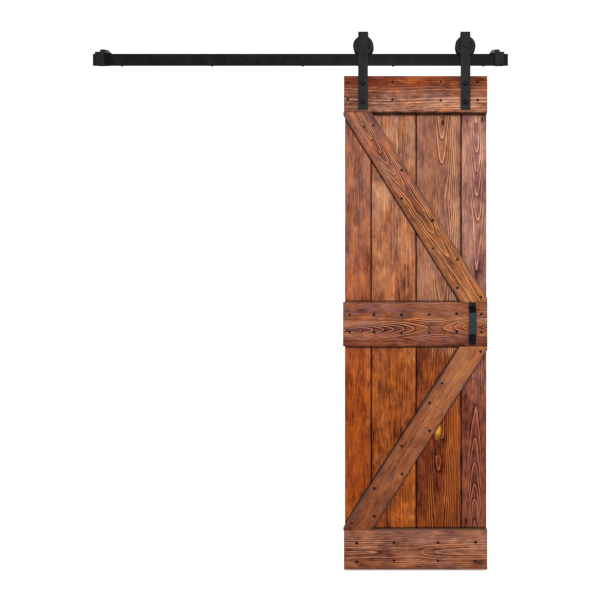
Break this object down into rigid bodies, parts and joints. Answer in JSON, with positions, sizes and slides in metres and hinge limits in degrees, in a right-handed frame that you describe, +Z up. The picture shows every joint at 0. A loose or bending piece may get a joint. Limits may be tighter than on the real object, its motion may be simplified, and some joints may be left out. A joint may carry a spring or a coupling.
{
  "type": "sliding barn door",
  "caption": "Boarded pine door with two diagonal braces, hung on grooved wheels from a flat black wall track with end stops and a pull handle.",
  "frame": {"origin": "the axis of the middle stand-off, where it meets the finished wall face", "axes": "+X along the track to the right as seen from the room, +Y into the wall, +Z up"},
  "size_m": [1.802, 0.086, 2.329],
  "materials": {
    "stained_pine": "red-brown stain with a low satin sheen",
    "black_powder_coat": "fine matt powder coat",
    "handle_black": "satin black coat",
    "black_fixings": "black phosphate, dull",
    "bright_steel": "ground and lightly oiled",
    "black_rubber": "dull moulded rubber"
  },
  "bodies": {
    "track": {"track": "black_powder_coat", "stand_offs": "black_powder_coat", "left_stop_body": "black_powder_coat", "left_stop_buffer": "black_rubber", "left_stop_screws": "black_fixings", "right_stop_body": "black_powder_coat", "right_stop_buffer": "black_rubber", "right_stop_screws": "black_fixings"},
    "door": {"plank_1": "stained_pine", "plank_2": "stained_pine", "plank_3": "stained_pine", "plank_4": "stained_pine", "top_batten": "stained_pine", "mid_batten": "stained_pine", "bottom_batten": "stained_pine", "upper_brace": "stained_pine", "lower_brace": "stained_pine", "top_batten_screws": "black_fixings", "mid_batten_screws": "black_fixings", "bottom_batten_screws": "black_fixings", "upper_brace_screws": "black_fixings", "lower_brace_screws": "black_fixings", "pull_handle": "handle_black", "handle_screws": "black_fixings", "left_hanger_strap": "black_powder_coat", "left_strap_bolts": "black_fixings", "left_face_washers": "black_fixings", "left_back_washers": "black_fixings", "left_strap_nuts": "black_fixings", "left_axle_bolt": "black_fixings", "left_axle_sleeves": "bright_steel", "left_axle_nut": "black_fixings", "left_bearing_inner": "bright_steel", "right_hanger_strap": "black_powder_coat", "right_strap_bolts": "black_fixings", "right_face_washers": "black_fixings", "right_back_washers": "black_fixings", "right_strap_nuts": "black_fixings", "right_axle_bolt": "black_fixings", "right_axle_sleeves": "bright_steel", "right_axle_nut": "black_fixings", "right_bearing_inner": "bright_steel"},
    "left_wheel": {"left_wheel": "black_powder_coat", "left_bearing_outer": "bright_steel", "left_bearing_balls": "bright_steel", "left_bearing_shields": "bright_steel"},
    "right_wheel": {"right_wheel": "black_powder_coat", "right_bearing_outer": "bright_steel", "right_bearing_balls": "bright_steel", "right_bearing_shields": "bright_steel"}
  },
  "joints": [
    {"name": "door_slide", "type": "slide", "parent": "track", "child": "door", "axis": [1, 0, 0], "range_m": [-1.059, 0.071]},
    {"name": "left_wheel_roll", "type": "hinge", "parent": "door", "child": "left_wheel", "pos_m": [0.273, -0.038, 0.056], "axis": [0, 1, 0], "continuous": true},
    {"name": "right_wheel_roll", "type": "hinge", "parent": "door", "child": "right_wheel", "pos_m": [0.715, -0.038, 0.056], "axis": [0, 1, 0], "continuous": true}
  ],
  "couplings": [
    {"joint": "left_wheel_roll", "follows": "door_slide", "rad_per_m": 32.258},
    {"joint": "right_wheel_roll", "follows": "door_slide", "rad_per_m": 32.258}
  ]
}
